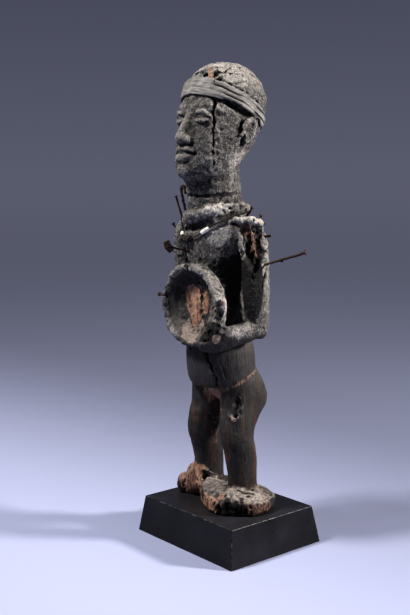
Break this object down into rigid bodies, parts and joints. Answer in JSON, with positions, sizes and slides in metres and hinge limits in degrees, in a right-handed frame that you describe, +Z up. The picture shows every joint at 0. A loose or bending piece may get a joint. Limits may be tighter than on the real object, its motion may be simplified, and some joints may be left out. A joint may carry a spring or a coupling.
{
  "type": "power figure",
  "caption": "Standing carved wood power figure with an open belly container, iron nails, hide head band and beaded neck cord, cracked and crusted, on a black display plinth.",
  "frame": {"origin": "centre of the plinth's flat underside", "axes": "+Z up, the figure faces -Y, the figure's left side is +X"},
  "size_m": [0.1835, 0.1274, 0.5138],
  "materials": {
    "carved_wood": "old dark wood under a pitted grey-brown crust, bare reddish wood where it is cracked or worn",
    "black_lacquered_wood": "satin black lacquer with rubbed edges",
    "hide_strip": "smoothed, dust-grey hide",
    "plant_fibre": "twisted dark fibre, dull",
    "white_glass": "opaque white glass, worn to a soft shine",
    "forged_iron": "rusted forged iron, dark brown with rubbed heads"
  },
  "bodies": {
    "root": {"figure": "carved_wood", "plinth": "black_lacquered_wood", "head_band": "hide_strip", "neck_cord": "plant_fibre", "cord_bundle": "plant_fibre", "bead_long": "white_glass", "bead_round": "white_glass", "nail_neck": "forged_iron", "nail_right_shoulder": "forged_iron", "nail_chest_ring": "forged_iron", "nail_collar": "forged_iron", "nail_shoulder_front": "forged_iron", "nail_shoulder_back": "forged_iron", "nail_arm_small": "forged_iron", "nail_rim": "forged_iron", "nail_container_side": "forged_iron", "nail_container_under": "forged_iron", "nail_arm_long": "forged_iron", "nail_chest": "forged_iron", "blade_neck": "forged_iron"}
  },
  "joints": []
}
